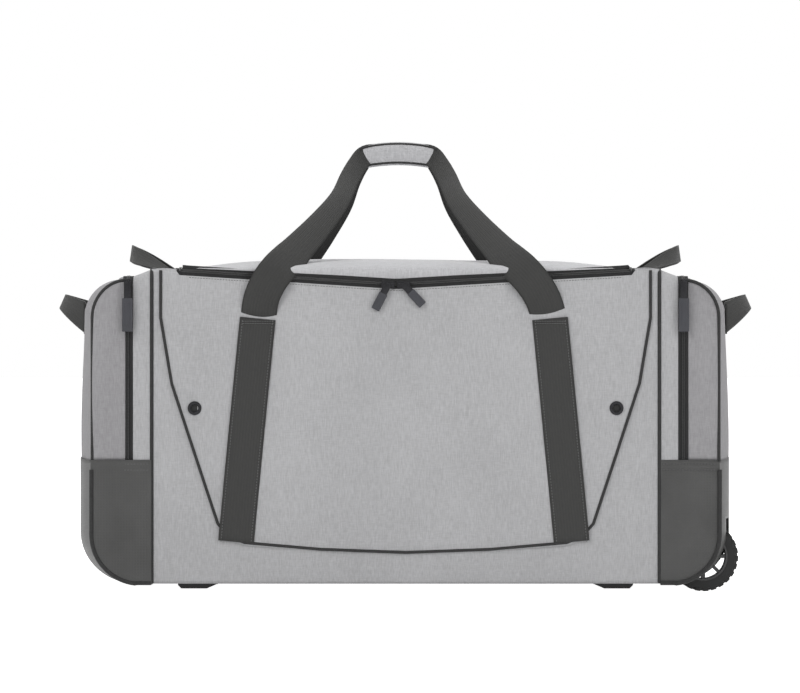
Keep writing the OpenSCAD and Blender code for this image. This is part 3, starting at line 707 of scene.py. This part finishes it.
boot_cloth = tarpaulin()
for side, word in ((-1, "left"), (1, "right")):
    def boot_form(a, b, c):
        z = BASE_Z + (BOOT_Z + 0.003 - BASE_Z) * ((c + 1) / 2) ** 1.6
        y = b * (FACE_Y + 0.001)
        x = SEAM_X + (boot_reach(y, z) - SEAM_X) * (a + 1) / 2
        if abs(b) > 0.99:
            y += b * (0.0015 + 0.3 * creases(x * 2, z * 2, 21 + side))
        return side * x, y, z

    def boot_gap(p):
        y, z = p.y * FACE_Y, BASE_Z + (BOOT_Z - BASE_Z) * ((p.z + 1) / 2) ** 1.6
        x = SEAM_X + (boot_reach(y, z) - SEAM_X) * (p.x + 1) / 2
        over_wheel = abs(abs(y) - WHEEL_Y) < WELL_HALF + 0.001 and abs(p.y) < 0.99
        well = side > 0 and over_wheel and z < WELL_Z and x > WELL_X
        return p.x < -0.99 or p.z > 0.99 or well

    blocky(f"{word}_boot_cloth", 49, boot_form, boot_cloth, "bag", [f"{word}_boot"],
           boot_gap, 0.9, 0.002)
    for face, face_word in ((-1, "front"), (1, "back")):
        line = [Vector(boot_form(1, face, c)) for c in [0.9 - i * 1.9 / 40 for i in range(41)]]
        line = [Vector((p.x, p.y + face * 0.0012, p.z)) for p in line]
        line += [Vector((side * (0.39 - i * 0.026 / 4), face * (FACE_Y + 0.0035), BASE_Z + 0.001))
                 for i in range(5)]
        cord(f"{word}_boot_{face_word}_welt", line, 0.0032, piping_cloth, "bag",
             [f"{word}_welt"] if face < 0 else [])
        for n, drop in enumerate((0.003, 0.0115)):
            row = [Vector((side * x, face * (FACE_Y + 0.0040), BOOT_Z - drop))
                   for x in [0.367 + i * 0.076 / 8 for i in range(9)]]
            stitches(f"{word}_boot_{face_word}_hem_stitch_{n}", row, thread, "bag", 0.0045)

# Base, its stiff board, and the lined dividers inside.
cloth("base_cloth", 60, 40, lambda u, v: ((2 * u - 1) * SEAM_X, (2 * v - 1) * 0.213,
      BASE_Z + 0.0012 + 0.0006 * math.sin(u * 60)), boot_cloth, "bag", ["base_panel"])
lining = plain_cloth("lining", (0.13, 0.13, 0.132))
for side, word in ((-1, "left"), (1, "right")):
    cloth(f"{word}_divider_cloth", 50, 50, lambda u, v, side=side: (
        side * (0.3615 - 0.004 * math.sin(math.pi * u) * math.sin(math.pi * v)), (2 * u - 1) * 0.212,
        0.0175 + v * 0.443), lining, "bag", [f"{word}_divider"])

# Grab handles: webbing tacked down at both ends, on the top seams and on the end faces,
# where the strap is folded lengthways for the hand.
for side, word in ((-1, "left"), (1, "right")):
    line = []
    for i in range(61):
        t = i / 30 - 1
        up = max(0, 1 - t * t) ** 0.9
        line.append(Vector((side * (0.357 + 0.053 * up), t * 0.1, 0.4668 + 0.0258 * up)))

    def top_across(u):
        turn = min(1, 1.5 * (1 - abs(2 * u - 1))) * math.radians(82)
        return -side * math.cos(turn), 0, math.sin(turn)

    ribbon(f"{word}_top_grab_handle", line, 0.0245, webbing, f"{word}_top_handle_body",
           [f"{word}_top_handle"], top_across)
    line = []
    for i in range(61):
        t = i / 30 - 1
        out = max(0, 1 - abs(t) ** 2.4)
        x = end_reach(t * 0.078, 0.395) + 0.002
        line.append(Vector((side * (x + (0.5115 - x) * out), t * 0.078, 0.396 + 0.0245 * out)))

    def end_across(u):
        out = 1 - abs(2 * u - 1) ** 2.4
        return -side * 0.45 * out, 0, 1

    ribbon(f"{word}_end_grab_handle", line, lambda u: 0.046 - 0.024 * (1 - abs(2 * u - 1) ** 2.4), webbing,
           f"{word}_end_handle_body", [f"{word}_end_handle"], end_across, 0.0032)
    for end in (-1, 1):
        patch = [Vector((side * (end_reach(y, 0.395) + 0.0018), y, 0.395))
                 for y in [end * (0.066 + i * 0.03 / 8) for i in range(9)]]
        ribbon(f"{word}_end_patch_{'back' if end > 0 else 'front'}", patch, 0.047, webbing, f"{word}_pocket",
               across=lambda u: (0, 0, 1))

# Eyelets and vents: rings rolled over the cloth, plated on the walls and moulded on the
# end faces.
def turned(name, profile, centre, axis, material, body, nodes=()):
    """A ring: its profile, as radius and height pairs, spun round an axis through centre."""
    bm = bmesh.new()
    ring = [bm.verts.new((r, 0, h)) for r, h in profile]
    edges = [bm.edges.new((a, b)) for a, b in zip(ring, ring[1:] + ring[:1])]
    bmesh.ops.spin(bm, geom=ring + edges, axis=(0, 0, 1), cent=(0, 0, 0), angle=2 * math.pi, steps=48,
                   use_merge=True, use_duplicate=False)
    bmesh.ops.remove_doubles(bm, verts=bm.verts, dist=0.00001)
    turn = Vector((0, 0, 1)).rotation_difference(Vector(axis)).to_matrix().to_4x4()
    bmesh.ops.transform(bm, matrix=Matrix.Translation(centre) @ turn, verts=bm.verts)
    bmesh.ops.recalc_face_normals(bm, faces=bm.faces)
    return finish_piece(name, bm, material, body, nodes, sharp=0.9)


ring_profile = [(0.0050 + 0.0025 * (1 - math.cos(a)), 0.0022 * math.sin(a))
                for a in [i * math.pi / 8 for i in range(9)]]
ring_profile += [(0.0100, -0.0004), (0.0075, -0.0014), (0.0050, -0.0010)]
gauze_profile = [(0.0001, 0), (0.0060, 0), (0.0060, 0.0006), (0.0001, 0.0006)]
mesh_gauze = plain_cloth("vent_gauze", (0.012, 0.012, 0.012), 0.0012)
EYELET_X, EYELET_Z = 0.301, 0.265
for side, word in ((-1, "front"), (1, "back")):
    for hand, hand_word in ((-1, "left"), (1, "right")):
        x = hand * EYELET_X
        spot = Vector((x, wall_y(x, EYELET_Z, side) + side * 0.0028, EYELET_Z))
        turned(f"{word}_{hand_word}_eyelet", ring_profile, spot, (0, side, 0), gunmetal, "bag",
               ["eyelets"] if side < 0 and hand < 0 else [])
        turned(f"{word}_{hand_word}_eyelet_gauze", gauze_profile,
               spot - Vector((0, side * 0.0006, 0)), (0, side, 0), mesh_gauze, "bag")
black_plastic = moulded("black_plastic", (0.016, 0.016, 0.017), 0.5)
for side, word in ((-1, "left"), (1, "right")):
    turned(f"{word}_end_vent_ring", [(r * 1.35, h * 1.2) for r, h in ring_profile],
           Vector((side * (end_reach(0, 0.337) + 0.0016), 0, 0.337)), (side, 0, 0), black_plastic,
           f"{word}_pocket", [f"{word}_end_vent"])

# Wheels: moulded eight-spoke rims with a chunky two-row rubber tread, turning on bearings
# between the cheeks of the moulded housings.
rim_plastic = moulded("rim_plastic", (0.03, 0.03, 0.031), 0.42)
tyre_rubber = moulded("wheel_tyre", (0.013, 0.013, 0.013), 0.75, 0.0004)
TREAD_BLOCKS = 26
for side, word in ((-1, "front"), (1, "rear")):
    bm = bmesh.new()
    band = [(0.0352, -0.012), (0.0450, -0.0125), (0.0468, -0.010),
            (0.0468, 0.010), (0.0450, 0.0125), (0.0352, 0.012)]
    ring = [bm.verts.new((r, h, 0)) for r, h in band]
    edges = [bm.edges.new((a, b)) for a, b in zip(ring, ring[1:] + ring[:1])]
    bmesh.ops.spin(bm, geom=ring + edges, axis=(0, 1, 0), cent=(0, 0, 0), angle=2 * math.pi, steps=72,
                   use_merge=True, use_duplicate=False)
    bmesh.ops.remove_doubles(bm, verts=bm.verts, dist=0.00001)
    bmesh.ops.recalc_face_normals(bm, faces=bm.faces)
    for row in (-1, 1):
        for i in range(TREAD_BLOCKS):
            turn = Matrix.Rotation((i + 0.25 * row) * 2 * math.pi / TREAD_BLOCKS, 4, "Y")
            add_block(bm, (0.0082, 0.0108, 0.0056), (0, row * 0.0066, 0.0472), turn, 0.0009)
    bmesh.ops.translate(bm, verts=bm.verts, vec=(AXLE_X, side * WHEEL_Y, AXLE_Z))
    finish_piece(f"{word}_tread_tyre", bm, tyre_rubber, f"{word}_wheel",
                 [f"{word}_tyre"], sharp=0.6)

# Carried-over pieces: the moulded, turned and plated parts keep their shapes.
steel = metal("steel", (0.5, 0.5, 0.51), 0.3)
moulded_parts = ("base_board", "front_wheel_housing", "rear_wheel_housing", "skid_feet")
steel_parts = ("axle_bolts", "axle_nuts", "bearing_spacers", "front_bearings", "rear_bearings")
for material, names in ((rim_plastic, ("front_rim", "rear_rim")), (black_plastic, moulded_parts),
                        (steel, steel_parts)):
    for name in names:
        for material_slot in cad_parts[name].material_slots:
            material_slot.material = material

# Floor and light: a floor that looks white, a white surround and four soft lamps.
floor_bm = bmesh.new()
bmesh.ops.create_grid(floor_bm, x_segments=1, y_segments=1, size=30)
floor_mesh = bpy.data.meshes.new("floor")
floor_bm.to_mesh(floor_mesh)
floor_bm.free()
floor = bpy.data.objects.new("floor", floor_mesh)
bpy.context.collection.objects.link(floor)
floor_finish, floor_tree, floor_shader = node_material("floor", (0.9, 0.9, 0.9), 0.9)
floor_seen = floor_tree.nodes.new("ShaderNodeLightPath")
floor_shader.inputs["Emission Color"].default_value = (1, 1, 1, 1)
floor_glow = mixed(floor_tree, "MAXIMUM", floor_seen.outputs["Is Camera Ray"],
                   floor_seen.outputs["Is Glossy Ray"])
floor_tree.links.new(floor_glow, floor_shader.inputs["Emission Strength"])
floor_mesh.materials.append(floor_finish)
world = bpy.data.worlds.new("world")
bpy.context.scene.world = world
world.use_nodes = True
sky = world.node_tree
seen = sky.nodes.new("ShaderNodeLightPath")
background = sky.nodes["Background"]
background.inputs["Color"].default_value = (1, 1, 1, 1)
direct = mixed(sky, "MAXIMUM", seen.outputs["Is Camera Ray"], seen.outputs["Is Glossy Ray"])
sky.links.new(mixed(sky, "MAXIMUM", direct, 0.45), background.inputs["Strength"])
for name, place, size, power in (("key", (-2.2, -3.2, 3.0), 2.0, 50), ("fill", (2.6, -3.4, 2.0), 2.4, 34),
                                 ("top", (0, 0.2, 3.6), 2.4, 36), ("behind", (0.5, 3.5, 2.4), 2.4, 32)):
    lamp_data = bpy.data.lights.new(name, "AREA")
    lamp_data.energy = power
    lamp_data.size = size
    lamp = bpy.data.objects.new(name, lamp_data)
    lamp.location = place
    lamp.rotation_euler = (Vector((0, 0, 0.25)) - Vector(place)).to_track_quat("-Z", "Y").to_euler()
    bpy.context.collection.objects.link(lamp)
bpy.context.scene.view_settings.view_transform = "Standard"
